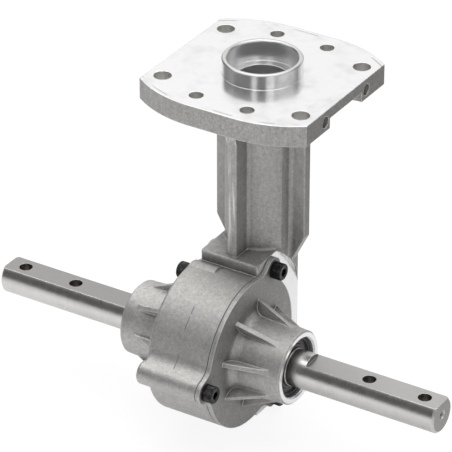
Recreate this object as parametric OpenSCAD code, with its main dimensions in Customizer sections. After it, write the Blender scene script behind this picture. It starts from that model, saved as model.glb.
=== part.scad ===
// Worm reduction gearbox. A cast column hangs under an engine flange and carries an upright
// worm, which turns a cross shaft through a worm wheel in the round chamber at its foot.
// Origin: centre of the flange's top face, on the worm axis. +X runs along the cross shaft.

/* [Engine flange] */
// Width of the flange between its two flat sides
flange_w = 94.8; // [92:0.2:110]
// Depth of the flange between its front and back edges
flange_d = 98.6; // [96:0.2:110]
// Thickness of the flange at its bolt pads
flange_t = 11; // [9:0.5:14]
// Thickness of the flange between the pads
flange_web = 5.6; // [4:0.1:7]
// Half length of the thin stretch on each flat side
pocket_half = 15.5; // [12:0.5:17]
// Radius of the swept corners of the front and back edges
flange_edge_r = 60; // [56:1:66]
// Half length of the straight stretch of those edges
flange_edge_flat = 12; // [8:1:16]
// Distance between the corner bolt holes along X
bolt_dx = 78.5; // [72:0.1:79]
// Distance between the corner bolt holes along Y
bolt_dy = 59; // [54:0.1:62]
// Diameter of the corner bolt holes
bolt_d = 9; // [6:0.1:10]
// Radius of the thick pad around each corner bolt hole
bolt_pad_r = 15; // [12:0.5:17]
// Distance between the small holes along X
stud_dx = 28.8; // [24:0.1:36]
// Distance between the small holes along Y
stud_dy = 76.4; // [72:0.1:80]
// Diameter of the small holes
stud_d = 7.2; // [5:0.1:8]
// Distance between the two blind holes in each flat side
side_hole_dy = 39.6; // [38:0.2:44]
// Depth of their axes below the flange's top
side_hole_z = 6; // [5:0.1:7]
// Radius of those blind holes
side_hole_r = 3; // [2:0.1:3.5]
// Depth of those blind holes
side_hole_depth = 5; // [2:0.5:6]

/* [Bearing collar] */
// Outer radius of the collar, which centres the engine
collar_r = 20.2; // [19.5:0.1:23]
// Height of the collar over the flange
collar_h = 8; // [6:0.5:12]
// Radius of the bearing seat in the collar
collar_bore_r = 17.5; // [16:0.1:18]
// Depth of the bearing seat from the collar's rim
collar_bore_depth = 11; // [9:0.5:12]
// Chamfer on the collar's rim
collar_chamfer = 0.7; // [0.3:0.1:1]

/* [Column] */
// Outer radius of the column's tube
tube_r = 18.5; // [17.5:0.1:20]
// Reach of the right rib from the axis
side_rib_reach = 26.5; // [24:0.5:30]
// Reach of the left rib from the axis
left_rib_reach = 25.1; // [24.5:0.1:30]
// Reach of the front and back ribs from the axis
front_rib_reach = 29; // [26:0.5:30]
// Depth at which the front and back ribs start to flare out towards the flange
rib_flare_depth = 36; // [26:0.5:50]
// Slope of that flare, in degrees
rib_flare = 17; // [5:0.5:20]
// Thickness of a column rib
rib_t = 5.5; // [4:0.1:7]
// Radius of the fillets between the ribs and the tube
rib_fillet = 2.5; // [1:0.1:4]
// Depth at which the side ribs start to taper, below the flange's top
rib_taper_top = 85.5; // [75:0.5:90]
// Depth at which the side ribs have run out
rib_taper_foot = 101.5; // [96:0.5:108]
// Depth at which the left rib has run out
left_taper_foot = 97; // [96:0.5:108]
// Depth of the foot of the column
column_foot = 180; // [176:0.5:190]
// Chamfer around the foot of the column
foot_chamfer = 3; // [1:0.5:4]

/* [Gear chamber] */
// Depth of the cross shaft's axis below the flange's top
shaft_drop = 135; // [130:0.5:145]
// Thickness of the chamber's round wall
case_wall = 3.5; // [2.5:0.1:4]
// Left face of the chamber, as a distance from the worm axis
case_left = 18.5; // [17.5:0.1:20]
// Thickness of the chamber's left wall
case_left_wall = 4; // [3:0.1:4.5]
// Machined right face of the chamber, as a distance from the worm axis
case_face = 16.2; // [15:0.1:17]
// Radius of the edge around the chamber's left face
case_edge_r = 2; // [1:0.1:3]
// Room around the lobes in the turned cut that clears the cover
face_cut_room = 2.8; // [1:0.1:5]
// Depth of that cut below the chamber's right face
face_cut_depth = 0.05; // [0.02:0.01:0.2]
// Radius of a screw lobe
lobe_r = 6.2; // [5.5:0.1:7]
// Distance of a lobe's screw outside the round chamber
lobe_out = 3.6; // [2.6:0.1:5]
// Radius of the edge around a lobe's left face
lobe_edge_r = 1.6; // [0.8:0.1:2.4]
// Radius of the hollows that blend a lobe into the chamber
lobe_blend = 9; // [6:0.5:14]
// Depth of the top of the box between the chamber and the column
box_top = 91; // [88:0.5:94]
// Reach of the front of that box from the worm axis
box_front = 31.5; // [28:0.5:34]
// Half width of that box
box_half_w = 16.4; // [16:0.1:18]
// Radius of the box's edges
box_edge_r = 1.2; // [0.5:0.1:2]
// Radius of the fillet between the top of the box and the column
box_fillet = 1.5; // [0.5:0.1:3]

/* [Hubs and cover] */
// Distance of the right hub's end face from the worm axis
hub_end = 46.3; // [44:0.1:50]
// Distance of the left hub's end face from the worm axis
left_hub_end = 47.2; // [44:0.1:50]
// Radius of a hub at its end
hub_r = 19.25; // [18.5:0.05:21]
// Radius of a hub at its root
hub_root_r = 20.3; // [19.5:0.1:22]
// Radius of the fillet at a hub's root
hub_fillet = 5; // [3:0.5:7]
// Chamfer at a hub's mouth
hub_chamfer = 0.8; // [0.3:0.1:1.2]
// Thickness of the cover's plate
cover_t = 2.2; // [1.8:0.1:3]
// Thickness of the gasket under the cover
gasket_t = 0.4; // [0.2:0.1:0.8]
// Depth of the cover's centring spigot
spigot_depth = 2.5; // [1.5:0.1:3.5]
// Thickness of the spigot's wall
spigot_wall = 2.5; // [1.5:0.1:3.5]
// Number of gussets around each hub
gusset_count = 8; // [4:1:10]
// Angle of the right hub's first gusset from the rear
gusset_first = 30; // [20:1:40]
// Angle of the left hub's first gusset from the rear
left_gusset_first = 42; // [30:1:44]
// Radius of a gusset's outer corner
gusset_reach = 28.5; // [26:0.5:31]
// Distance from the worm axis at which a gusset runs out on its hub
gusset_end = 40.5; // [37:0.5:43]
// Thickness of a gusset at its edge
gusset_t = 2.2; // [1.6:0.1:3]
// Radius of the fillets at a gusset's root
gusset_fillet = 2; // [1:0.1:3]

/* [Screws] */
// Diameter of the screws' thread
screw_d = 5; // [4:0.5:5]
// Diameter of a screw's head
screw_head_d = 8.5; // [8:0.1:9]
// Height of a screw's head
screw_head_h = 5; // [4:0.1:5.5]
// Width across flats of the hexagon socket
screw_key = 4; // [3:0.5:4.5]
// Depth of that socket
socket_depth = 2.75; // [1.5:0.05:3]
// Length of a cover screw below its head
screw_len = 14; // [10:1:16]
// Length of the filler screw below its head
filler_len = 6; // [5:0.5:7]
// Clearance of a screw in the holes of the cover and the gasket
screw_play = 0.25; // [0.1:0.05:0.5]
// Spare depth of a tapped hole past its screw
tap_spare = 2; // [1:0.5:4]
// Distance of the filler screw inside the chamber's outer radius
filler_in = 6.1; // [6.1:0.1:8]
// Angle of the filler screw from the rear
filler_angle = 84.5; // [80:0.5:90]
// Radius of the boss around the filler screw
filler_boss_r = 7.1; // [6.5:0.1:8]
// Height of that boss from the chamber's left face inwards
filler_boss_h = 15.5; // [5:0.5:17]
// Thickness of the filler screw's sealing washer
washer_t = 0.8; // [0.5:0.1:1.2]
// Width by which that washer stands out around the head
washer_rim = 0.6; // [0.2:0.1:1]

/* [Cross shaft] */
// Radius of the cross shaft outside the hubs
shaft_r = 9.5; // [9:0.05:9.8]
// Radius of the cross shaft in its seals and up to its flats
journal_r = 9.8; // [9.8:0.05:10]
// Half length of the cross shaft
shaft_half = 127; // [120:0.5:140]
// Height of the milled flat over the shaft's axis
flat_h = 6.9; // [6:0.1:8]
// Start of each flat, as a distance from the worm axis
flat_start = 54; // [50:0.5:60]
// Radius of the pin holes through the shaft
pin_hole_r = 3.5; // [2:0.1:4]
// Distance of the outer pin hole from the end of the shaft
pin_from_end = 9.8; // [7:0.1:15]
// Distance between the two pin holes at one end
pin_pitch = 30.9; // [20:0.1:31]
// Chamfer on the shaft's ends
shaft_chamfer = 1; // [0.5:0.1:1.5]
// Radius of the mouth of the centre drilling in each end
centre_r = 2.4; // [1:0.1:4]
// Radius of the seat of the worm wheel
wheel_seat_r = 11; // [10.5:0.1:12]
// Radius of the shoulder that the wheel leans on
shoulder_r = 13.5; // [12.5:0.1:14.5]
// Thickness of that shoulder
shoulder_t = 3; // [2:0.1:4]
// Width and height of the wheel's key
key_w = 6; // [5:0.5:6]
// Length of the wheel's key
key_len = 16; // [10:1:18]
// Outer radius of the spacer sleeves
spacer_r = 13; // [12:0.1:14]

/* [Worm drive] */
// Pitch radius of the worm
worm_pitch_r = 8.5; // [7.5:0.1:9]
// Axial module of the worm and the wheel
gear_module = 2; // [1.9:0.05:2.1]
// Number of teeth on the wheel
wheel_teeth = 32; // [30:1:32]
// Gap between the wheel's teeth and the chamber's round wall
wheel_room = 2; // [1:0.1:4]
// Face width of the wheel's teeth
wheel_face = 12; // [8:0.5:13]
// Half length of the wheel's hub
wheel_hub_half = 10; // [8:0.5:11]
// Radius of the wheel's hub
wheel_hub_r = 16; // [14:0.5:18]
// Radius of the wheel's lightening recess
wheel_web_r = 26; // [23:0.5:27]
// Depth of that recess on each side
wheel_web_depth = 2.5; // [1:0.5:4]
// Pressure angle of the teeth, in degrees
flank_angle = 20; // [15:1:25]
// Gap between the tips of the teeth and the roots that they run in
tip_gap = 0.4; // [0.2:0.05:0.6]
// Play between a thread's flanks and the teeth, along the pitch line
backlash = 0.4; // [0.3:0.05:0.6]
// Half length of the worm's thread
worm_half = 17; // [12:0.5:18]
// Half distance between the inner faces of the worm's bearings
worm_bearing_at = 26; // [24:0.5:27]
// Length of the worm shaft above its upper bearing
worm_tail = 14; // [8:1:18]
// Width across flats of the square drive socket
drive_square = 5.2; // [4:0.1:6]
// Depth of the square drive socket
drive_depth = 10; // [6:1:12]
// Depth of the pit under the worm's lower bearing
pit_depth = 4; // [2:0.5:6]
// Width of the ledge around that pit, which carries the bearing
pit_ledge = 2; // [1:0.1:3]

/* [Bearings and seals] */
// Bore radius of the cross shaft's bearings
out_bore = 10; // [9.8:0.05:10.4]
// Outer radius of the cross shaft's bearings
out_outer = 16; // [15.8:0.05:16.4]
// Width of the cross shaft's bearings
out_width = 7; // [6:0.5:8]
// Distance of those bearings' outer faces from the worm axis
out_at = 37; // [36:0.1:38]
// Number of balls in a cross shaft bearing
out_balls = 12; // [8:1:13]
// Bore radius of the worm's bearings
in_bore = 5; // [4.8:0.05:5.2]
// Outer radius of the worm's bearings
in_outer = 13; // [12.8:0.05:13.4]
// Width of the worm's bearings
in_width = 8; // [7:0.5:9]
// Number of balls in a worm bearing
in_balls = 7; // [5:1:7]
// Outer radius of the shaft seals
seal_outer = 15.5; // [15.2:0.05:15.7]
// Width of the shaft seals
seal_w = 6.5; // [5:0.5:7]
// Width of a seal's steel case around its mouth
seal_case_t = 1.4; // [1:0.1:2]
// Depth of the sunk ring in a seal's face
seal_sink = 1; // [0.5:0.1:1.5]
// Radius of a ball, as a share of its bearing's radial section
ball_share = 0.29; // [0.25:0.01:0.3]
// Half width of the gap between the rings, as a share of that section
land_share = 0.17; // [0.15:0.01:0.2]
// Width of a cage, as a share of its balls' radius
cage_share = 2.5; // [2.3:0.1:2.6]
// Thickness of the circlip over the worm's upper bearing
circlip_t = 1.2; // [1:0.1:1.5]
// Gap between that circlip and the bearing
circlip_play = 0.05; // [0.02:0.01:0.1]
// Depth of its groove
groove_depth = 0.5; // [0.3:0.1:0.8]
// Radial width of that circlip
circlip_w = 2.1; // [1.5:0.1:3]
// Gap between the ends of that circlip
circlip_gap = 6; // [3:0.5:8]
// Radius of the ears at its ends
circlip_ear_r = 2; // [1.5:0.1:2.5]
// Radius of the hole in each ear
circlip_eye_r = 0.8; // [0.5:0.1:1]
// Radial clearance of a turned piece in its seat
seat_fit = 0.02; // [0.01:0.01:0.05]
// Radial clearance of a shaft that turns in a seal
running_fit = 0.06; // [0.03:0.01:0.1]
// Clearance around a ball in its races
ball_play = 0.15; // [0.1:0.05:0.25]

/* [Hidden] */

// Facets of the circles on screen
$fn = 64;
// Depth by which a cut runs past the face that it opens
over = 1;
lobe_angles = [60, 180, 300];
cast_grey = [0.62, 0.62, 0.61];
bright_steel = [0.74, 0.73, 0.71];
ring_steel = [0.8, 0.8, 0.82];
black_oxide = [0.08, 0.08, 0.09];
dark_rubber = [0.1, 0.1, 0.1];
gasket_grey = [0.16, 0.17, 0.16];
wheel_bronze = [0.72, 0.52, 0.28];
copper = [0.72, 0.42, 0.28];

// Depth by which a tooth's tips are topped, so that they clear the worm's root
topping = 0.1;
// Height above a tooth's root at which its flank starts
root_rise = 0.9;
wheel_pitch_r = gear_module * wheel_teeth / 2;
wheel_tip_r = wheel_pitch_r + gear_module - topping;
wheel_root_r = wheel_pitch_r - gear_module - tip_gap;
center_distance = worm_pitch_r + wheel_pitch_r;
cavity_r = wheel_tip_r + wheel_room;
case_r = cavity_r + case_wall;
lobe_reach = case_r + lobe_out;
filler_reach = case_r - filler_in;
face_cut_r = lobe_reach + lobe_r + face_cut_room;
cavity_left = case_left - case_left_wall;
cover_seat = case_face + gasket_t;
cover_face = cover_seat + cover_t;
spigot_end = cover_seat - spigot_depth;
blend_angle = acos((pow(case_r + lobe_blend, 2) + pow(lobe_reach, 2) - pow(lobe_r + lobe_blend, 2))
    / (2 * (case_r + lobe_blend) * lobe_reach));
collar_floor = collar_h - collar_bore_depth;
worm_bore_r = in_outer + seat_fit;
worm_bearing_end = worm_bearing_at + in_width;
worm_lead = PI * gear_module;
worm_tip_r = worm_pitch_r + gear_module;
worm_root_r = worm_pitch_r - gear_module - tip_gap;
thread_half_w = (PI * gear_module / 2 - backlash) / 2;
circlip_z = worm_bearing_end - shaft_drop + circlip_play;
circlip_r = in_outer + groove_depth;

// Moves the children onto the cross shaft's axis
module at_shaft() translate([0, -center_distance, -shaft_drop]) children();

// Makes a plate from x0 to x1 out of a flat shape drawn in y and z
module plate_x(x0, x1) translate([x0, 0, 0]) rotate([90, 0, 90]) linear_extrude(x1 - x0) children();

// Turns a flat shape, drawn as radius and x, about the X axis
module turn_x() rotate([0, 90, 0]) rotate_extrude() children();

// Round bar along X from x0 to x1
module rod_x(r, x0, x1) translate([x0, 0, 0]) rotate([0, 90, 0]) cylinder(r = r, h = x1 - x0);

// Upright round bar from z0 to z1
module rod_z(r, z0, z1) translate([0, 0, z0]) cylinder(r = r, h = z1 - z0);

// Mirrors the children to the left side when left is true
module to_side(left) mirror([left ? 1 : 0, 0, 0]) children();

// Flat outline of the flange: two flat sides, and two edges that sweep round to the corners
module flange_shape() {
    intersection() {
        square([flange_w, flange_d], center = true);
        flange_sweep();
        mirror([0, 1]) flange_sweep();
    }
}

// Everything behind the front edge sweep of the flange
module flange_sweep() {
    arc_y = flange_edge_r - flange_d / 2;
    for (s = [-1, 1]) translate([s * flange_edge_flat, arc_y]) circle(flange_edge_r);
    translate([-flange_edge_flat, -flange_d / 2]) square([2 * flange_edge_flat, flange_d]);
}

// Places the children on the four corner bolts
module at_bolts() {
    for (x = [-1, 1], y = [-1, 1]) translate([x * bolt_dx / 2, y * bolt_dy / 2]) children();
}

// Places the children on the four small holes
module at_studs() {
    for (x = [-1, 1], y = [-1, 1]) translate([x * stud_dx / 2, y * stud_dy / 2]) children();
}

// Flange plate, thinned from below between the pads on its two flat sides
module flange_plate() {
    pocket_in = side_rib_reach - rib_fillet;
    difference() {
        translate([0, 0, -flange_t]) linear_extrude(flange_t) flange_shape();
        for (left = [false, true], s = [-1, 1]) to_side(left)
            translate([0, s * side_hole_dy / 2, -side_hole_z])
                rod_x(side_hole_r, flange_w / 2 - side_hole_depth, flange_w / 2 + over);
        translate([0, 0, -flange_t - over]) linear_extrude(flange_t - flange_web + over)
            difference() {
                for (s = [-1, 1]) translate([s * (pocket_in + flange_w / 4), 0])
                    square([flange_w / 2, 2 * pocket_half], center = true);
                at_bolts() circle(bolt_pad_r);
            }
    }
}

// Collar with its chamfered rim
module collar() {
    rotate_extrude() polygon([
        [0, -over], [collar_r, -over], [collar_r, collar_h - collar_chamfer],
        [collar_r - collar_chamfer, collar_h], [0, collar_h]
    ]);
}

// Flat section of one rib along +X with its root fillets and eased tip corners
module rib_section(reach, half_t, root_r, fillet) {
    tip_r = round(100 * half_t / 3) / 100;
    centre_x = sqrt(pow(root_r + fillet, 2) - pow(half_t + fillet, 2));
    translate([0, -half_t]) square([reach - tip_r, 2 * half_t]);
    translate([reach - 2 * tip_r, tip_r - half_t]) square([2 * tip_r, 2 * (half_t - tip_r)]);
    for (s = [-1, 1]) translate([reach - tip_r, s * (half_t - tip_r)]) circle(tip_r);
    difference() {
        polygon([[0, 0], [centre_x, half_t + fillet], [centre_x, -half_t - fillet]]);
        for (s = [-1, 1]) translate([centre_x, s * (half_t + fillet)]) circle(fillet);
    }
}

// One column rib along +X, which tapers out between the two depths
module column_rib(reach, taper_top, taper_foot) {
    top = -flange_web - over / 2;
    intersection() {
        translate([0, 0, -taper_foot]) linear_extrude(taper_foot + top)
            rib_section(reach, rib_t / 2, tube_r, rib_fillet);
        translate([0, tube_r, 0]) rotate([90, 0, 0]) linear_extrude(2 * tube_r) polygon([
            [0, top], [reach + over, top], [reach + over, -taper_top], [reach, -taper_top],
            [tube_r, -taper_foot], [0, -taper_foot]
        ]);
    }
}

// Flare of a rib along +X: its tip leans out and a plate fills the wedge behind it
module rib_flare_wedge(reach) {
    rise = rib_flare_depth - flange_t + over;
    inner = tube_r / 2 - reach;
    translate([reach, 0, -rib_flare_depth]) {
        rotate([0, rib_flare, 0]) linear_extrude(rise / cos(rib_flare)) intersection() {
            translate([-reach, 0]) rib_section(reach, rib_t / 2, tube_r, rib_fillet);
            translate([-rib_t, -rib_t]) square(2 * rib_t);
        }
        translate([0, rib_t / 2, 0]) rotate([90, 0, 0]) linear_extrude(rib_t) polygon([
            [inner, 0], [-rib_t / 2, 0], [rise * tan(rib_flare) - rib_t / 2, rise], [inner, rise]
        ]);
    }
}

// Turns the children back around the cover to the chamber's machined face
module turned_back() {
    difference() {
        children();
        at_shaft() rod_x(face_cut_r, case_face - face_cut_depth, hub_end);
    }
}

// Ribbed column under the flange; its foot also houses the worm
module column() {
    turned_back() rod_z(tube_r, -column_foot + foot_chamfer, -over);
    translate([0, 0, -column_foot])
        cylinder(r1 = tube_r - foot_chamfer, r2 = tube_r, h = foot_chamfer);
    turned_back() column_rib(side_rib_reach, rib_taper_top, rib_taper_foot);
    rotate(180) column_rib(left_rib_reach, rib_taper_top, left_taper_foot);
    rotate(90) column_rib(front_rib_reach, rib_taper_top, rib_taper_foot);
    rotate(-90) column_rib(front_rib_reach, box_top + over, box_top + over);
    for (a = [-90, 90]) rotate(a) rib_flare_wedge(front_rib_reach);
    rotate_extrude() translate([tube_r - over, -flange_t - rib_fillet]) difference() {
        square([rib_fillet + over, rib_fillet + over]);
        translate([rib_fillet + over, 0]) circle(rib_fillet);
    }
}

// Rectangle with four round corners, from one corner to the other
module soft_square(low, high, r) {
    translate([low[0], low[1] + r]) square([high[0] - low[0], high[1] - low[1] - 2 * r]);
    translate([low[0] + r, low[1]]) square([high[0] - low[0] - 2 * r, high[1] - low[1]]);
    for (x = [low[0] + r, high[0] - r], y = [low[1] + r, high[1] - r]) translate([x, y]) circle(r);
}

// Fillet around the column where it stands on the box
module box_foot_fillet() {
    half_w = box_half_w - box_edge_r;
    intersection() {
        rotate_extrude() translate([tube_r - over, -box_top - over]) difference() {
            square([box_fillet + over, box_fillet + over]);
            translate([box_fillet + over, box_fillet + over]) circle(box_fillet);
        }
        translate([-half_w, -2 * tube_r, -box_top - over])
            cube([2 * half_w, 2 * tube_r, box_fillet + 2 * over]);
    }
}

// Box between the gear chamber and the column
module worm_box() {
    foot = 2 * shaft_drop - box_top;
    intersection() {
        translate([0, 0, -foot]) linear_extrude(foot - box_top)
            soft_square([-box_half_w, -box_front], [box_half_w, tube_r / 2], box_edge_r);
        plate_x(-box_half_w, box_half_w)
            soft_square([-box_front, -foot], [tube_r / 2, -box_top], box_edge_r);
    }
}

// Plate from x0 to x1 in the chamber's outline: a disc with three blended screw lobes
module lobed_plate(x0, x1) {
    rod_x(case_r, x0, x1);
    for (a = lobe_angles) rotate([a, 0, 0]) {
        translate([0, lobe_reach, 0]) rod_x(lobe_r, x0, x1);
        plate_x(x0, x1) lobe_web();
    }
}

// Web between the disc and one lobe, hollowed on both sides
module lobe_web() {
    difference() {
        polygon([[0, 0], blend_centre(1), [lobe_reach, 0], blend_centre(-1)]);
        for (s = [-1, 1]) translate(blend_centre(s)) circle(lobe_blend);
    }
}

function blend_centre(s) = (case_r + lobe_blend) * [cos(blend_angle), s * sin(blend_angle)];

// Solid disc turned about X from x0 to x1, with a rounded edge at x0
module soft_disc(r, x0, x1, edge) {
    turn_x() {
        translate([0, x0 + edge]) square([r, x1 - x0 - edge]);
        translate([0, x0]) square([r - edge, edge + over]);
        translate([r - edge, x0 + edge]) circle(edge);
    }
}

// Gear chamber without its hub: disc and lobes with a rounded left edge
module chamber() {
    x0 = -case_left;
    soft_disc(case_r, x0, case_face, case_edge_r);
    for (a = lobe_angles) rotate([a, 0, 0]) {
        translate([0, lobe_reach, 0]) soft_disc(lobe_r, x0, case_face, lobe_edge_r);
        plate_x(x0 + case_edge_r + over / 2, case_face) lobe_web();
    }
    rotate([filler_angle, 0, 0]) translate([0, filler_reach, 0])
        soft_disc(filler_boss_r, x0, x0 + filler_boss_h, lobe_edge_r);
}

// Right-hand hub from the plane x = root to x = end, with its root fillet and gussets
module hub(root, end, first) {
    turn_x() {
        polygon([
            [0, root - over], [hub_root_r, root - over], [hub_root_r, root + hub_fillet],
            [hub_r, end - hub_chamfer], [hub_r - hub_chamfer, end], [0, end]
        ]);
        translate([hub_root_r - over, root]) difference() {
            square([hub_fillet + over, hub_fillet]);
            translate([hub_fillet + over, hub_fillet]) circle(hub_fillet);
        }
    }
    for (i = [0:gusset_count - 1]) rotate([first + 360 / gusset_count * i, 0, 0]) gusset(root);
}

// One gusset along +Y between the plane x = root and the hub
module gusset(root) {
    intersection() {
        plate_x(root - over, gusset_end)
            rib_section(gusset_reach, gusset_t / 2, hub_r, gusset_fillet);
        translate([0, 0, -hub_r]) linear_extrude(2 * hub_r) polygon([
            [root - over, 0], [root - over, gusset_reach], [root, gusset_reach],
            [gusset_end, hub_r], [gusset_end, 0]
        ]);
    }
}

// Stepped bore of a right-hand hub: bearing seat from the inside, seal bore from the outside
module hub_bore(inside, end) {
    rod_x(out_outer + seat_fit, inside, out_at);
    rod_x(seal_outer + seat_fit, out_at - over, end + over);
    turn_x() polygon([
        [seal_outer, end - hub_chamfer], [seal_outer + hub_chamfer, end],
        [seal_outer + hub_chamfer, end + over], [seal_outer, end + over]
    ]);
}

// Places the children on the three cover screws
module at_screws() {
    at_shaft() for (a = lobe_angles) rotate([a, 0, 0]) translate([0, lobe_reach, 0]) children();
}

// Places the children on the filler screw, on the left face
module at_filler() {
    at_shaft() rotate([filler_angle, 0, 0]) translate([-case_left, filler_reach, 0]) children();
}

// The casting: flange, column, box, gear chamber and left hub in one piece
module gear_case() color(cast_grey) difference() {
    union() {
        flange_plate();
        collar();
        column();
        turned_back() worm_box();
        box_foot_fillet();
        at_shaft() {
            chamber();
            to_side(true) hub(case_left, left_hub_end, left_gusset_first);
        }
    }
    at_shaft() {
        rod_x(cavity_r, -cavity_left, case_face + over);
        to_side(true) hub_bore(cavity_left - over, left_hub_end);
    }
    rod_z(collar_bore_r, collar_floor, collar_h + over);
    translate([0, 0, collar_h - collar_chamfer])
        cylinder(r1 = collar_bore_r, r2 = collar_bore_r + collar_chamfer, h = collar_chamfer);
    rod_z(worm_bore_r, -shaft_drop - worm_bearing_end, collar_floor + over);
    rod_z(in_outer - pit_ledge, -shaft_drop - worm_bearing_end - pit_depth, -shaft_drop);
    rod_z(circlip_r, circlip_z, circlip_z + circlip_t);
    translate([0, 0, -flange_t - over]) linear_extrude(flange_t + 2 * over) {
        at_bolts() circle(d = bolt_d);
        at_studs() circle(d = stud_d);
    }
    at_screws() rod_x(screw_d / 2 + seat_fit, cover_face - screw_len - tap_spare, case_face + over);
    at_filler() rod_x(screw_d / 2 + seat_fit, -over, case_left_wall + over);
}

// Right-hand cover: plate, centring spigot and hub in one casting
module side_cover() color(cast_grey) difference() {
    union() {
        at_shaft() {
            lobed_plate(cover_seat, cover_face);
            rod_x(cavity_r - seat_fit, spigot_end, cover_seat + cover_t / 2);
            hub(cover_face, hub_end, gusset_first);
        }
    }
    at_shaft() {
        rod_x(cavity_r - spigot_wall, spigot_end - over, cover_seat);
        hub_bore(spigot_end - over, hub_end);
    }
    at_screws() rod_x(screw_d / 2 + screw_play, cover_seat - over, cover_face + over);
}

// Gasket between the case and the cover
module cover_gasket() color(gasket_grey) difference() {
    at_shaft() lobed_plate(case_face, cover_seat);
    at_shaft() rod_x(cavity_r + seat_fit, case_face - over, cover_seat + over);
    at_screws() rod_x(screw_d / 2 + screw_play, case_face - over, cover_seat + over);
}

// Socket head screw along X, its head's seat at x = 0 and its head on the +X side
module socket_screw(len) {
    head_edge = 0.5;
    difference() {
        union() {
            rod_x(screw_d / 2, -len, over);
            rod_x(screw_head_d / 2, 0, screw_head_h - head_edge);
            translate([screw_head_h - head_edge, 0, 0]) rotate([0, 90, 0])
                cylinder(r1 = screw_head_d / 2, r2 = screw_head_d / 2 - head_edge, h = head_edge);
        }
        translate([screw_head_h - socket_depth, 0, 0]) rotate([0, 90, 0])
            cylinder(d = screw_key / cos(30), h = screw_head_h, $fn = 6);
    }
}

// The three cover screws
module cover_screws() color(black_oxide) {
    at_screws() translate([cover_face, 0, 0]) socket_screw(screw_len);
}

// Screw that closes the grease hole on the left face
module filler_plug() color(black_oxide) {
    at_filler() translate([-washer_t, 0, 0]) mirror([1, 0, 0]) socket_screw(filler_len);
}

// Sealing washer under the filler screw
module filler_washer() color(copper) {
    at_filler() difference() {
        rod_x(screw_head_d / 2 + washer_rim, -washer_t, 0);
        rod_x(screw_d / 2 + running_fit, -washer_t - over, over);
    }
}

// Cross shaft: one bar with a flat and two pin holes at each end, and its inner seats
module output_shaft() color(bright_steel) at_shaft() {
    difference() {
        union() {
            for (left = [false, true]) to_side(left) shaft_end();
            rod_x(wheel_seat_r, -wheel_hub_half, wheel_hub_half);
            rod_x(shoulder_r, -wheel_hub_half - shoulder_t, -wheel_hub_half);
        }
        key_slot();
    }
}

// Right half of the cross shaft: bearing seat, journal, and free end with a flat and two pin holes
module shaft_end() {
    difference() {
        turn_x() polygon([
            [0, 0], [out_bore, 0], [out_bore, out_at + shaft_chamfer / 2],
            [journal_r, out_at + shaft_chamfer / 2], [journal_r, flat_start], [shaft_r, flat_start],
            [shaft_r, shaft_half - shaft_chamfer], [shaft_r - shaft_chamfer, shaft_half],
            [centre_r, shaft_half], [0, shaft_half - 2 * centre_r]
        ]);
        translate([flat_start, -shaft_r - over, flat_h]) cube([shaft_half, 2 * (shaft_r + over), shaft_r]);
        for (x = [0, pin_pitch]) translate([shaft_half - pin_from_end - x, 0, 0])
            rod_z(pin_hole_r, -shaft_r - over, shaft_r + over);
    }
}

// Space of the wheel's key, half in the shaft and half in the wheel
module key_slot() {
    translate([-key_len / 2, -key_w / 2, wheel_seat_r - key_w / 2]) cube([key_len, key_w, key_w]);
}

// Key that locks the wheel to the shaft
module wheel_key() color(bright_steel) at_shaft() key_slot();

function involute(a) = tan(a) * 180 / PI - a;
function flank_half(r) = 90 / wheel_teeth + involute(flank_angle)
    - involute(acos(min(1, wheel_pitch_r * cos(flank_angle) / r)));

// Flat section of the wheel's teeth, with a gap centred on its first axis
module tooth_section() {
    steps = 4;
    flank_foot = wheel_root_r + root_rise;
    radii = [for (i = [0:steps]) flank_foot + (wheel_tip_r - flank_foot) * i / steps];
    pitch = 360 / wheel_teeth;
    polygon([for (t = [0:wheel_teeth - 1]) let (mid = (t + 0.5) * pitch) each concat(
        [on_arc(wheel_root_r, mid - flank_half(radii[0]))],
        [for (r = radii) on_arc(r, mid - flank_half(r))],
        [for (i = [steps:-1:0]) on_arc(radii[i], mid + flank_half(radii[i]))],
        [on_arc(wheel_root_r, mid + flank_half(radii[0]))]
    )]);
}

function on_arc(r, a) = r * [cos(a), sin(a)];

// Worm wheel: a slightly twisted toothed rim on a plain hub
module worm_wheel() color(wheel_bronze) at_shaft() {
    twist = wheel_face / (worm_pitch_r * wheel_pitch_r) * 180 / PI;
    difference() {
        union() {
            rotate([-twist / 2, 0, 0]) translate([-wheel_face / 2, 0, 0]) rotate([90, 0, 90])
                linear_extrude(wheel_face, twist = -twist, slices = 3) tooth_section();
            rod_x(wheel_hub_r, -wheel_hub_half, wheel_hub_half);
        }
        for (s = [-1, 1]) to_side(s < 0) difference() {
            rod_x(wheel_web_r, wheel_face / 2 - wheel_web_depth, wheel_face / 2 + over);
            rod_x(wheel_hub_r, 0, wheel_hub_half + over);
        }
        rod_x(wheel_seat_r + seat_fit, -wheel_hub_half - over, wheel_hub_half + over);
        translate([-wheel_hub_half - over, -key_w / 2, 0])
            cube([2 * (wheel_hub_half + over), key_w, wheel_seat_r + key_w / 2]);
    }
}

// Radius of the worm's cross section at the angle a from the middle of its thread
function thread_r(a) = let (off = abs(a) / 360 * worm_lead)
    max(worm_root_r, min(worm_tip_r, worm_pitch_r + (thread_half_w - off) / tan(flank_angle)));

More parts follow.
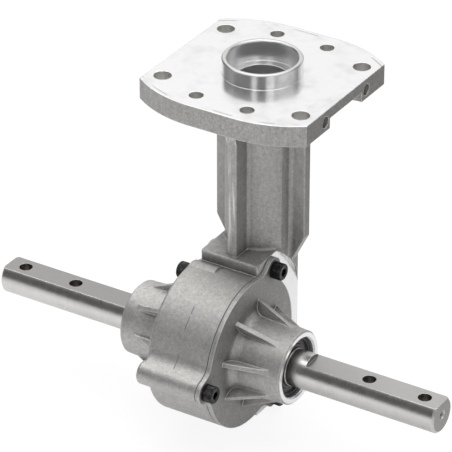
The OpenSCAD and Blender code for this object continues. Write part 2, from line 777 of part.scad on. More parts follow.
// Worm shaft: journals, single-start worm and a square drive socket in its head
module worm_shaft() color(bright_steel) translate([0, 0, -shaft_drop]) {
    step = 15;
    turns = 2 * worm_half / worm_lead;
    rotate(-90) translate([0, 0, -worm_half]) rotate(-180 * turns)
        linear_extrude(2 * worm_half, twist = -360 * turns, slices = ceil(turns * 14), $fn = 24)
            polygon([for (a = [-180:step:180 - step]) on_arc(thread_r(a), a)]);
    rod_z(worm_root_r - topping, -worm_bearing_at, worm_bearing_at);
    rod_z(in_bore, -worm_bearing_end + over, -worm_bearing_at);
    difference() {
        rod_z(in_bore, worm_bearing_at, worm_bearing_end + worm_tail);
        translate([0, 0, worm_bearing_end + worm_tail - drive_depth / 2 + over / 2])
            cube([drive_square, drive_square, drive_depth + over], center = true);
    }
}

// Sleeve between the wheel and a bearing's inner ring
module spacer(from) {
    difference() {
        rod_x(spacer_r, from, out_at - out_width);
        rod_x(out_bore + seat_fit, from - over, out_at);
    }
}
module spacer_left() color(bright_steel) at_shaft() to_side(true) spacer(wheel_hub_half + shoulder_t);
module spacer_right() color(bright_steel) at_shaft() spacer(wheel_hub_half);

// Shaft seal for the right hub: steel-cased rubber with a raised rim and lip
module seal() {
    back = out_at + running_fit;
    front = back + seal_w;
    lip = journal_r + running_fit;
    lip_t = 2.2;
    edge = 0.4;
    turn_x() polygon([
        [lip, front - 2 * edge], [lip, front - lip_t], [lip + lip_t / 2, back + shaft_chamfer],
        [lip + lip_t / 2, back], [seal_outer, back], [seal_outer, front - edge],
        [seal_outer - edge, front], [seal_outer - seal_case_t, front],
        [seal_outer - seal_case_t - edge, front - seal_sink], [lip + lip_t, front - seal_sink],
        [lip + lip_t - edge, front - edge], [lip + edge, front - edge]
    ]);
}
module seal_left() color(dark_rubber) at_shaft() to_side(true) seal();
module seal_right() color(dark_rubber) at_shaft() seal();

// Ball bearing pieces, centred on the origin and turned about Z.
// sizes holds the bore radius, the outer radius, the width and the number of balls.
function pitch_r(sizes) = (sizes[0] + sizes[1]) / 2;
function ball_r(sizes) = (sizes[1] - sizes[0]) * ball_share;
function land(sizes) = (sizes[1] - sizes[0]) * land_share;

// Ring between two radii with a race around the balls
module race_ring(sizes, r0, r1) {
    edge = 0.4;
    h = sizes[2] / 2;
    difference() {
        rotate_extrude() polygon([
            [r0, edge - h], [r0 + edge, -h], [r1 - edge, -h], [r1, edge - h],
            [r1, h - edge], [r1 - edge, h], [r0 + edge, h], [r0, h - edge]
        ]);
        rotate_extrude() translate([pitch_r(sizes), 0]) circle(ball_r(sizes) + ball_play);
    }
}
module outer_ring(sizes) race_ring(sizes, pitch_r(sizes) + land(sizes), sizes[1]);
module inner_ring(sizes) race_ring(sizes, sizes[0], pitch_r(sizes) - land(sizes));
module ball_set(sizes) {
    for (i = [0:sizes[3] - 1]) rotate(360 / sizes[3] * i) translate([pitch_r(sizes), 0, 0])
        sphere(ball_r(sizes));
}
module ball_cage(sizes) {
    half_t = land(sizes) - 2 * ball_play;
    h = ball_r(sizes) * cage_share;
    difference() {
        rotate_extrude() translate([pitch_r(sizes) - half_t, -h / 2]) square([2 * half_t, h]);
        for (i = [0:sizes[3] - 1]) rotate(360 / sizes[3] * i) rotate([0, 90, 0])
            cylinder(r = ball_r(sizes) + ball_play / 3, h = sizes[1]);
    }
}

out_sizes = [out_bore, out_outer, out_width, out_balls];
in_sizes = [in_bore, in_outer, in_width, in_balls];

// Places the children on one of the four bearings
module at_output_bearing(left) {
    at_shaft() to_side(left) translate([out_at - out_width / 2, 0, 0]) rotate([0, 90, 0]) children();
}
module at_worm_bearing(upper) {
    translate([0, 0, -shaft_drop + (upper ? 1 : -1) * (worm_bearing_at + in_width / 2)]) children();
}

module bearing_left_outer() color(ring_steel) at_output_bearing(true) outer_ring(out_sizes);
module bearing_left_inner() color(ring_steel) at_output_bearing(true) inner_ring(out_sizes);
module bearing_left_balls() color(ring_steel) at_output_bearing(true) ball_set(out_sizes);
module bearing_left_cage() color(ring_steel) at_output_bearing(true) ball_cage(out_sizes);
module bearing_right_outer() color(ring_steel) at_output_bearing(false) outer_ring(out_sizes);
module bearing_right_inner() color(ring_steel) at_output_bearing(false) inner_ring(out_sizes);
module bearing_right_balls() color(ring_steel) at_output_bearing(false) ball_set(out_sizes);
module bearing_right_cage() color(ring_steel) at_output_bearing(false) ball_cage(out_sizes);
module worm_upper_outer() color(ring_steel) at_worm_bearing(true) outer_ring(in_sizes);
module worm_upper_inner() color(ring_steel) at_worm_bearing(true) inner_ring(in_sizes);
module worm_upper_balls() color(ring_steel) at_worm_bearing(true) ball_set(in_sizes);
module worm_upper_cage() color(ring_steel) at_worm_bearing(true) ball_cage(in_sizes);
module worm_lower_outer() color(ring_steel) at_worm_bearing(false) outer_ring(in_sizes);
module worm_lower_inner() color(ring_steel) at_worm_bearing(false) inner_ring(in_sizes);
module worm_lower_balls() color(ring_steel) at_worm_bearing(false) ball_set(in_sizes);
module worm_lower_cage() color(ring_steel) at_worm_bearing(false) ball_cage(in_sizes);

// Circlip in its groove over the worm's upper bearing
module worm_circlip() color(black_oxide) translate([0, 0, circlip_z]) linear_extrude(circlip_t) {
    ring_in = circlip_r - circlip_w;
    difference() {
        circle(circlip_r - seat_fit);
        circle(ring_in);
        translate([0, -circlip_r]) square([circlip_gap, 4 * circlip_w], center = true);
    }
    for (s = [-1, 1])
        translate([s * (circlip_gap + circlip_ear_r) / 2, circlip_ear_r / 2 - ring_in]) difference() {
            circle(circlip_ear_r);
            circle(circlip_eye_r);
        }
}

gear_case();
side_cover();
cover_gasket();
cover_screws();
filler_plug();
filler_washer();
output_shaft();
worm_wheel();
wheel_key();
spacer_left();
spacer_right();
seal_left();
seal_right();
bearing_left_outer();
bearing_left_inner();
bearing_left_balls();
bearing_left_cage();
bearing_right_outer();
bearing_right_inner();
bearing_right_balls();
bearing_right_cage();
worm_shaft();
worm_circlip();
worm_upper_outer();
worm_upper_inner();
worm_upper_balls();
worm_upper_cage();
worm_lower_outer();
worm_lower_inner();
worm_lower_balls();
worm_lower_cage();
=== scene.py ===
import math

import bpy
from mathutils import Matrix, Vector


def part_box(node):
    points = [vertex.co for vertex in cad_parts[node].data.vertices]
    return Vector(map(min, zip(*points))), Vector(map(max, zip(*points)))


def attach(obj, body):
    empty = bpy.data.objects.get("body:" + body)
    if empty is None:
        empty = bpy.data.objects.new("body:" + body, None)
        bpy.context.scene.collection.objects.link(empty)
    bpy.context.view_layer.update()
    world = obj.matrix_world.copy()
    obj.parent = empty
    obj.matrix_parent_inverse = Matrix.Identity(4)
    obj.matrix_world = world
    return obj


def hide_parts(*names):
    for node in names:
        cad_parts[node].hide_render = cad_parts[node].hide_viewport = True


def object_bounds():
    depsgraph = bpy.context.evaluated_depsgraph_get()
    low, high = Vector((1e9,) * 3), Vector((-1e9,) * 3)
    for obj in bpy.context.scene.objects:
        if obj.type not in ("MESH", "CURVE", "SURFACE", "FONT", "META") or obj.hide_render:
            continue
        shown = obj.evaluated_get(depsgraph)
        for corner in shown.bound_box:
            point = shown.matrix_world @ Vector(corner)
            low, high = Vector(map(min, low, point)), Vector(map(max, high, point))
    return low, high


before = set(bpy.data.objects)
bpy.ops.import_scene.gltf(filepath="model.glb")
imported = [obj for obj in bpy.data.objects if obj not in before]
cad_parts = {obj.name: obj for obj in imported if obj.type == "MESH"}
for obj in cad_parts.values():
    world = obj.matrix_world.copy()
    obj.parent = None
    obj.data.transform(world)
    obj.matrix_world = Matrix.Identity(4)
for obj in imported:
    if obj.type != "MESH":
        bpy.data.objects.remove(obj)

cad_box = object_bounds()

# Gear case: one die casting of the engine flange, the ribbed column, the round gear chamber and
# the left hub. Its aluminium skin is grey and sandy as cast. The flange's top, the collar, the
# bores and the faces that meet other pieces are machined bright, and the rest is left raw.
MM = 0.001
TOUCH = 0.1 * MM
SQUARE_ON = 0.9
shaft_axis = ((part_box("bearing_left_outer")[0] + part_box("bearing_left_outer")[1]) / 2).yz
case_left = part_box("gear_case")[0].x
joint_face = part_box("cover_gasket")[0].x
flange_thickness = 11 * MM
outline_centre, outline_r, scuff_inset = (12 * MM, -10.7 * MM), 60 * MM, 2.3 * MM
bolt_hole, bolt_hole_r = (39.25 * MM, 29.5 * MM), 4.5 * MM
stud_hole, stud_hole_r = (14.4 * MM, 38.2 * MM), 3.6 * MM
side_hole, side_hole_r, side_hole_floor = (19.8 * MM, -6 * MM), 3 * MM, 42.3 * MM
collar_reach, collar_wall, collar_bore_r = 22 * MM, 18.5 * MM, 17.5 * MM
rib_face, rib_middle, rib_half = -24 * MM, -51 * MM, 38 * MM
drum_r, turned_face_r, hub_bore_r = 39.4 * MM, 52.1 * MM, 16 * MM
parting_x, marks_top = -0.4 * MM, -60 * MM
mark_spans, mark_fade = ((124, 132), (132, 145), (161, 172)), 2
grain_size, lump_size, blotch_size, cloud_size = 0.55 * MM, 1.7 * MM, 7 * MM, 16 * MM
drag_size, pit_size, rib_highlight_size, scuff_size = 0.9 * MM, 1.1 * MM, 1.3 * MM, 24 * MM
skin_edge, skin_relief, corner_shade_reach = 0.7 * MM, 0.08 * MM, 6 * MM
right_side_shade = 0.26
cast_rough, cut_rough, polish_rough, bore_rough, drilled_rough = 0.50, 0.14, 0.11, 0.27, 0.38
cast_grey = (0.48, 0.473, 0.461)
# Pale colour painted on the skin's edges, fillets and front rib streaks as a highlight.
cast_edge_highlight = (0.92, 0.91, 0.895)
cut_bright = (0.88, 0.88, 0.882)
cut_white = (0.97, 0.97, 0.97)
cut_dull = (0.60, 0.595, 0.59)
drilled = (0.72, 0.71, 0.69)
scuff_grey = (0.34, 0.33, 0.32)
mark_grey = (0.16, 0.155, 0.15)


def node(tree, kind, inputs=(), **settings):
    """New shader node with its settings, whose inputs are given values or linked to sockets."""
    made = tree.nodes.new("ShaderNode" + kind)
    for key, value in settings.items():
        setattr(made, key, value)
    for key, value in dict(inputs).items():
        if isinstance(value, bpy.types.NodeSocket):
            tree.links.new(value, made.inputs[key])
        else:
            made.inputs[key].default_value = value
    return made


def calc(tree, operation, *values):
    """Result of one sum on up to three numbers or sockets."""
    return node(tree, "Math", dict(enumerate(values)), operation=operation).outputs[0]


def vary(tree, value, slope, base):
    """Value times a slope, plus a base."""
    return calc(tree, "MULTIPLY_ADD", value, slope, base)


def size_of(tree, value):
    """Value without its sign."""
    return calc(tree, "ABSOLUTE", value)


def away(tree, value, level):
    """How far a value is from a level, on either side."""
    return size_of(tree, calc(tree, "SUBTRACT", value, level))


def over(tree, value, limit):
    """Zone where a value is over a limit: 0 outside and 1 inside, as all zones are."""
    return calc(tree, "GREATER_THAN", value, limit)


def under(tree, value, limit):
    """Zone where a value is under a limit."""
    return calc(tree, "LESS_THAN", value, limit)


def all_of(tree, *zones):
    """Overlap of zones, and the product of other values."""
    out = zones[0]
    for zone in zones[1:]:
        out = calc(tree, "MULTIPLY", out, zone)
    return out


def any_of(tree, *zones):
    """Union of zones."""
    out = zones[0]
    for zone in zones[1:]:
        out = calc(tree, "MAXIMUM", out, zone)
    return out


def ramp(tree, value, low, high, to_low=0.0, to_high=1.0):
    """Soft step of a value between two levels."""
    return node(tree, "MapRange", {"Value": value, 1: low, 2: high, 3: to_low, 4: to_high},
                interpolation_type="SMOOTHSTEP").outputs[0]


def blend_value(tree, share, a, b):
    """Number a turning into number b."""
    return node(tree, "Mix", {0: share, 2: a, 3: b}, data_type="FLOAT").outputs[0]


def blend_color(tree, share, a, b):
    """Colour a turning into colour b, each a colour or a socket."""
    a, b = [(*c, 1) if isinstance(c, tuple) else c for c in (a, b)]
    return node(tree, "Mix", {0: share, 6: a, 7: b}, data_type="RGBA").outputs[2]


def shaded(tree, color, share):
    """Colour made lighter or darker by a share."""
    return node(tree, "VectorMath", {0: color, "Scale": share}, operation="SCALE").outputs[0]


def split(tree, vector):
    """X, Y and Z of a vector."""
    return node(tree, "SeparateXYZ", {0: vector}).outputs


def dot(tree, a, b):
    """Dot product of two vectors."""
    return node(tree, "VectorMath", {0: a, 1: b}, operation="DOT_PRODUCT").outputs["Value"]


def flat_distance(tree, u, v, at=(0, 0)):
    """Distance of (u, v) from a point of their plane."""
    du = calc(tree, "SUBTRACT", u, at[0])
    dv = calc(tree, "SUBTRACT", v, at[1])
    return calc(tree, "SQRT", calc(tree, "ADD", calc(tree, "MULTIPLY", du, du), calc(tree, "MULTIPLY", dv, dv)))


def speckle(tree, place, lump, detail=2.0, rough=0.5, stretch=(1, 1, 1)):
    """Noise whose lumps are about lump across, drawn out where stretch is under 1."""
    if stretch != (1, 1, 1):
        place = node(tree, "Mapping", {"Vector": place, "Scale": stretch}).outputs[0]
    return node(tree, "TexNoise", {"Vector": place, "Scale": 1 / lump, "Detail": detail,
                                   "Roughness": rough}).outputs["Fac"]


def tool_rings(tree, distance, per_mm, detail, rough=0.5):
    """Noise along one distance, like the rings that a lathe leaves."""
    track = calc(tree, "MULTIPLY", distance, 1 / MM)
    return node(tree, "TexNoise", {"W": track, "Scale": per_mm, "Detail": detail, "Roughness": rough},
                noise_dimensions="1D").outputs["Fac"]


def rounded_edge_highlight(tree, radius, samples, low, high):
    """Normal rounded over the sharp edges, and the zone of those edges, where the materials paint a highlight."""
    rounded = node(tree, "Bevel", {"Radius": radius}, samples=samples).outputs[0]
    bend = dot(tree, rounded, tree.nodes.new("ShaderNodeNewGeometry").outputs["Normal"])
    return rounded, ramp(tree, bend, low, high, 1.0, 0.0)


def new_material(name, constants):
    """Material with one principled shader, its constants set on the shader's own sockets."""
    material = bpy.data.materials.new(name)
    material.use_nodes = True
    tree = material.node_tree
    shader = tree.nodes["Principled BSDF"]
    for key, value in constants.items():
        shader.inputs[key].default_value = value
    coords = tree.nodes.new("ShaderNodeTexCoord")
    return material, tree, shader, coords.outputs["Object"], coords.outputs["Normal"]


def finish_surface(tree, shader, color, roughness, height, depth, normal=None):
    """Links the colour, the roughness and a bump of that depth to the shader."""
    tree.links.new(color, shader.inputs["Base Color"])
    tree.links.new(roughness, shader.inputs["Roughness"])
    inputs = {"Height": height, "Distance": depth, "Strength": 1.0}
    if normal:
        inputs["Normal"] = normal
    tree.links.new(node(tree, "Bump", inputs).outputs[0], shader.inputs["Normal"])


def case_zones(tree, place, normal):
    """Machined and drilled zones of the gear case, its marks from the die, and pale streaks painted on its front
    rib as highlights.
    """
    x, y, z = split(tree, place)
    nx, ny, nz = split(tree, normal)
    ax, ay = size_of(tree, x), size_of(tree, y)
    facing_x, facing_z = size_of(tree, nx), size_of(tree, nz)
    from_shaft = flat_distance(tree, y, z, shaft_axis)
    from_worm = flat_distance(tree, x, y)

    top = over(tree, z, -TOUCH / 2)
    turned = all_of(tree, calc(tree, "COMPARE", x, joint_face, TOUCH), over(tree, nx, SQUARE_ON),
                    under(tree, from_shaft, turned_face_r))
    hub_face = under(tree, x, case_left + TOUCH)
    bores = any_of(tree, under(tree, from_shaft, hub_bore_r + TOUCH),
                   under(tree, from_worm, collar_bore_r + TOUCH))

    bolts = under(tree, flat_distance(tree, ax, ay, bolt_hole), bolt_hole_r + TOUCH)
    studs = under(tree, flat_distance(tree, ax, ay, stud_hole), stud_hole_r + TOUCH)
    sides = all_of(tree, over(tree, ax, side_hole_floor - MM),
                   under(tree, flat_distance(tree, ay, z, side_hole), side_hole_r + TOUCH))
    holes = all_of(tree, any_of(tree, bolts, studs, sides), under(tree, facing_z, SQUARE_ON))

    sweep = flat_distance(tree, calc(tree, "MAXIMUM", ax, outline_centre[0]), ay, outline_centre)
    scuff = all_of(tree, ramp(tree, away(tree, sweep, outline_r - scuff_inset), 0.15 * MM, 0.55 * MM, 1.0, 0.0),
                   ramp(tree, speckle(tree, place, scuff_size, 2.0), 0.47, 0.53), top)

    turn = calc(tree, "ARCTAN2", calc(tree, "SUBTRACT", z, shaft_axis[1]),
                calc(tree, "SUBTRACT", y, shaft_axis[0]))
    spans = []
    for start, end in mark_spans:
        half = (end - start) / 2
        spans.append(ramp(tree, away(tree, turn, math.radians(start + half)),
                          math.radians(half - mark_fade), math.radians(half), 1.0, 0.0))
    parting = all_of(tree, ramp(tree, away(tree, x, parting_x), 0.1 * MM, 0.3 * MM, 1.0, 0.0),
                     any_of(tree, *spans))
    seam = all_of(tree, ramp(tree, away(tree, x, joint_face), 0.15 * MM, 0.45 * MM, 0.7, 0.0),
                  under(tree, facing_x, 0.5))
    marks = all_of(tree, any_of(tree, parting, seam), over(tree, from_shaft, drum_r - 1.5 * MM),
                   under(tree, z, marks_top))

    raised = all_of(tree, under(tree, from_worm, collar_reach), over(tree, z, 0.3 * MM))
    on_rib = all_of(tree, under(tree, y, rib_face), under(tree, ny, -0.8),
                    calc(tree, "COMPARE", z, rib_middle, rib_half))
    # Painted highlight: pale vertical streaks on the front rib's face.
    rib_highlight = ramp(tree, speckle(tree, place, rib_highlight_size, 3.0, 0.6, (1, 1, 0.04)), 0.5, 0.64, 0.0, 0.7)
    edge_band = all_of(tree, calc(tree, "COMPARE", z, -flange_thickness / 2, flange_thickness / 2 - TOUCH),
                       under(tree, facing_z, 0.5))
    return {"cut": any_of(tree, top, turned, hub_face, bores), "holes": holes, "scuff": scuff, "marks": marks,
            "polish": all_of(tree, raised, over(tree, from_worm, collar_wall)), "white": turned,
            "dull": all_of(tree, raised, over(tree, nz, 0.7)), "bores": bores, "pitted": edge_band,
            "rib_highlight": all_of(tree, rib_highlight, on_rib), "turning": blend_value(tree, facing_x, from_worm, from_shaft)}


def aluminium(name, zones_of):
    """Cast aluminium: sandy grey skin with painted shade in its corners and on faces turned to +X, painted
    highlights on its edges and front rib, and bright tool-marked machined zones.
    """
    material, tree, shader, place, normal = new_material(name, {"Metallic": 0.92})
    zones = dict.fromkeys(("holes", "scuff", "marks", "polish", "dull", "bores", "pitted", "rib_highlight"), 0.0)
    zones.update(zones_of(tree, place, normal))

    grain = speckle(tree, place, grain_size, 3.0, 0.7)
    lumps = speckle(tree, place, lump_size, 3.0, 0.6)
    blotch = speckle(tree, place, blotch_size, 4.0, 0.6)
    drag = speckle(tree, place, drag_size, 3.0, 0.6, (1, 1, 0.1))
    pits = vary(tree, speckle(tree, place, pit_size, 4.0, 0.75, (1, 1, 0.5)), 0.8, 0.58)
    # Painted shade: concave corners and creases are darkened by the ambient occlusion, where shade falls.
    corner = node(tree, "AmbientOcclusion", {"Distance": corner_shade_reach}, samples=6).outputs["AO"]
    # Painted shade: faces turned squarely to +X, on the dim side, are made darker.
    square = over(tree, split(tree, normal)[0], SQUARE_ON)
    rounded, edge = rounded_edge_highlight(tree, skin_edge, 5, 0.80, 0.995)
    shade = all_of(tree, vary(tree, grain, 1.0, 0.5), vary(tree, lumps, 0.6, 0.7), vary(tree, blotch, 0.4, 0.8),
                   vary(tree, drag, 0.24, 0.88), blend_value(tree, zones["pitted"], 1.0, pits),
                   ramp(tree, corner, 0.3, 0.95, 0.5, 1.0), vary(tree, square, -right_side_shade, 1.0))
    # Painted highlight: the edges, fillets and front rib streaks are painted pale.
    pale = any_of(tree, calc(tree, "MULTIPLY", edge, 0.9), zones["rib_highlight"])
    skin = blend_color(tree, pale, shaded(tree, cast_grey, shade), cast_edge_highlight)

    lathe = tool_rings(tree, zones["turning"], 3.5, 2.0)
    cloud = speckle(tree, place, cloud_size, 4.0, 0.6)
    bright = blend_color(tree, ramp(tree, cloud, 0.42, 0.8, 0.0, 0.6), cut_bright, cut_dull)
    bright = blend_color(tree, calc(tree, "MULTIPLY", lathe, 0.12), bright, cut_dull)
    bright = blend_color(tree, zones["white"], bright, cut_white)
    bright = blend_color(tree, zones["dull"], bright, cut_dull)

    color = blend_color(tree, zones["cut"], skin, bright)
    color = blend_color(tree, zones["holes"], color, drilled)
    color = blend_color(tree, calc(tree, "MULTIPLY", zones["scuff"], 0.85), color, scuff_grey)
    color = blend_color(tree, calc(tree, "MULTIPLY", zones["marks"], 0.7), color, mark_grey)
    machined = blend_value(tree, zones["polish"], vary(tree, cloud, 0.14, cut_rough), polish_rough)
    machined = blend_value(tree, any_of(tree, zones["dull"], zones["bores"]), machined, bore_rough)
    roughness = blend_value(tree, zones["cut"], vary(tree, blotch, 0.14, cast_rough), machined)
    roughness = blend_value(tree, any_of(tree, zones["scuff"], zones["holes"]), roughness, drilled_rough)
    sand = calc(tree, "ADD", grain, vary(tree, lumps, 1.2, blotch))
    height = blend_value(tree, zones["cut"], sand, calc(tree, "MULTIPLY", lathe, 0.05))
    height = calc(tree, "SUBTRACT", height, calc(tree, "MULTIPLY", zones["marks"], 1.5))
    finish_surface(tree, shader, color, roughness, height, skin_relief, rounded)
    return material


def dress(material, *names):
    """Gives CAD nodes their material."""
    for name in names:
        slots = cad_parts[name].data.materials
        slots.clear()
        slots.append(material)


dress(aluminium("case_aluminium", case_zones), "gear_case")

# Worm shaft: hardened steel, ground on its thread and seats, with a square socket in its head
# for the engine's drive shaft. It runs in two ball bearings, held down by a black circlip.
worm_grey, worm_rough = (0.56, 0.55, 0.54), 0.22
ring_grey, ring_rough = (0.70, 0.70, 0.71), 0.16
oxide_dark, oxide_pale, oxide_wear_and_glint = (0.010, 0.010, 0.011), (0.035, 0.035, 0.037), (0.6, 0.6, 0.61)
ring_ends = ("_outer", "_inner", "_balls")


def turned_steel(name, color, rough, axis="x", centre=(0, 0)):
    """Turned and ground metal whose fine rings run round an axis, also on its end faces."""
    material, tree, shader, place, _ = new_material(name, {"Metallic": 1.0})
    x, y, z = split(tree, place)
    along, u, v = (x, y, z) if axis == "x" else (z, x, y)
    rings = tool_rings(tree, calc(tree, "ADD", along, flat_distance(tree, u, v, centre)), 5.0, 3.0)
    mottle = speckle(tree, place, 5 * MM, 5.0, 0.65)
    nicks = ramp(tree, speckle(tree, place, 1.6 * MM, 3.0, 0.6, (0.4, 1, 1)), 0.66, 0.74)
    shade = all_of(tree, vary(tree, rings, 0.22, 0.89), vary(tree, mottle, 0.30, 0.85))
    shade = calc(tree, "SUBTRACT", shade, calc(tree, "MULTIPLY", nicks, 0.12))
    finish_surface(tree, shader, shaded(tree, color, shade), vary(tree, mottle, 0.16, rough - 0.08),
                   calc(tree, "ADD", rings, nicks), 0.006 * MM)
    return material


def black_oxide(name):
    """Blackened steel with a thin oily sheen and rubbed spots; its edges are painted pale, partly as wear and
    partly as a painted glint.
    """
    material, tree, shader, place, _ = new_material(name, {"Metallic": 0.85})
    spots = speckle(tree, place, 0.7 * MM, 4.0, 0.6)
    rounded, edge = rounded_edge_highlight(tree, 0.25 * MM, 4, 0.72, 0.92)
    # Edges painted pale: partly rubbed-through wear, partly a painted glint.
    tint = blend_color(tree, edge, blend_color(tree, spots, oxide_dark, oxide_pale), oxide_wear_and_glint)
    finish_surface(tree, shader, tint, vary(tree, spots, 0.2, 0.16), spots, 0.01 * MM, rounded)
    return material


def nodes_named(start, ends):
    """Names of the CAD nodes with that start and one of those ends."""
    return [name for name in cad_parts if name.startswith(start) and name.endswith(ends)]


oxide = black_oxide("black_oxide")
dress(turned_steel("worm_steel", worm_grey, worm_rough, "z"), "worm_shaft")
dress(turned_steel("ring_steel", ring_grey, ring_rough, "z"), *nodes_named("worm_", ring_ends))
dress(oxide, "worm_circlip")

# Cages of the four ball bearings: stamped steel rings with a hole for each ball, dull from
# the press, which ride on the balls between the rings.
cage_grey = (0.5, 0.48, 0.45)


def stamped_steel(name, color):
    """Dull pressed steel with grease clouds."""
    material, tree, shader, place, _ = new_material(name, {"Metallic": 1.0})
    cloud = speckle(tree, place, 3 * MM, 4.0)
    fine = speckle(tree, place, 0.4 * MM, 3.0)
    finish_surface(tree, shader, shaded(tree, color, vary(tree, cloud, 0.4, 0.8)),
                   vary(tree, cloud, 0.2, 0.3), fine, 0.01 * MM)
    return material


dress(stamped_steel("cage_steel", cage_grey), *nodes_named("", "_cage"))

# Worm wheel and its key: a bronze wheel, hobbed to suit the worm's thread and pressed on the
# cross shaft, which it drives through a square steel key.
bronze, bronze_rough = (0.62, 0.41, 0.19), 0.3
key_grey = (0.5, 0.49, 0.48)
dress(turned_steel("wheel_bronze", bronze, bronze_rough, "x", shaft_axis), "worm_wheel")
dress(stamped_steel("key_steel", key_grey), "wheel_key")

# Cross shaft: one ground steel bar, turned to its bearing and wheel seats in the middle, with a
# milled flat, two cross holes and a lathe centre at each end. The right flat stops short of its
# hub, and the left one runs on into the hub.
shaft_half, shaft_r, shaft_chamfer = 127 * MM, 9.5 * MM, 1 * MM
journal_half, journal_r = 44 * MM, 9.8 * MM
seat_half, seat_r = 37 * MM, 10 * MM
wheel_seat_half, wheel_seat_r = 10 * MM, 11 * MM
shoulder_end, shoulder_r = -13 * MM, 13.5 * MM
key_size = (16 * MM, 6 * MM, 6 * MM)
flat_ends, flat_level = (54 * MM, -44.5 * MM), shaft_axis[1] + 6.9 * MM
cutter_half, cutter_height = 11 * MM, 6 * MM
pin_holes, pin_hole_r = (86.3 * MM, 117.2 * MM), 3.5 * MM
centre_r, centre_dark_r = 2.4 * MM, 1.6 * MM
bar_corners, seat_corners, pin_corners, centre_corners = 128, 96, 48, 32
same_point = 0.01 * MM
smooth_angle = 25
bar_edge_r, bar_relief = 0.35 * MM, 0.008 * MM
bar_grey, bar_edge_highlight = (0.60, 0.585, 0.572), (0.95, 0.94, 0.93)
right_flat_grey, left_flat_shade = (0.37, 0.362, 0.355), (0.25, 0.245, 0.24)
end_shade_grey, pin_wall_grey, centre_hole_shade = (0.23, 0.225, 0.22), (0.45, 0.43, 0.41), (0.07, 0.068, 0.065)


def settle():
    """Moves the place, turn and size of the newest primitive into its mesh, and gives the piece."""
    bpy.ops.object.transform_apply(location=True, rotation=True, scale=True)
    return bpy.context.object


def add_rod(x0, x1, radius, corners, at):
    """Rod along X between two places, with that many corners."""
    bpy.ops.object.select_all(action="DESELECT")
    bpy.ops.mesh.primitive_cylinder_add(vertices=corners, radius=radius, depth=abs(x1 - x0),
                                        location=((x0 + x1) / 2, *at), rotation=(0, math.pi / 2, 0))
    return settle()


def add_block(low, high):
    """Box between two corners."""
    bpy.ops.object.select_all(action="DESELECT")
    bpy.ops.mesh.primitive_cube_add(size=1, location=[(a + b) / 2 for a, b in zip(low, high)])
    bpy.context.object.scale = [b - a for a, b in zip(low, high)]
    return settle()


def select_points(piece, wanted):
    """Selects the points of a mesh for which wanted gives true, and goes into edit mode."""
    bpy.ops.object.mode_set(mode="EDIT")
    bpy.ops.mesh.select_mode(type="VERT")
    bpy.ops.mesh.select_all(action="DESELECT")
    bpy.ops.object.mode_set(mode="OBJECT")
    for point in piece.data.vertices:
        point.select = wanted(point.co)
    bpy.ops.object.mode_set(mode="EDIT")


def chamfer_end(piece, top, out, radius, chamfer, at):
    """Chamfers the rim of a rod's end that faces along X or -X."""
    select_points(piece, lambda p: abs(p.x - top) < same_point)
    bpy.ops.mesh.inset(thickness=chamfer, depth=0)
    select_points(piece, lambda p: abs(p.x - top) < same_point
                  and math.hypot(p.y - at[0], p.z - at[1]) > radius - TOUCH)
    bpy.ops.transform.translate(value=(-out * chamfer, 0, 0))
    bpy.ops.object.mode_set(mode="OBJECT")


def combine(piece, other, operation):
    """Applies a boolean with another piece, which is used up."""
    modifier = piece.modifiers.new("joint", "BOOLEAN")
    modifier.operation = operation
    modifier.object = other
    modifier.solver = "EXACT"
    bpy.context.view_layer.objects.active = piece
    bpy.ops.object.modifier_apply(modifier=modifier.name)
    bpy.data.objects.remove(other)


def smooth(piece):
    """Shades the piece smooth, apart from its sharp edges."""
    bpy.ops.object.select_all(action="DESELECT")
    bpy.context.view_layer.objects.active = piece
    piece.select_set(True)
    bpy.ops.object.shade_smooth_by_angle(angle=math.radians(smooth_angle))


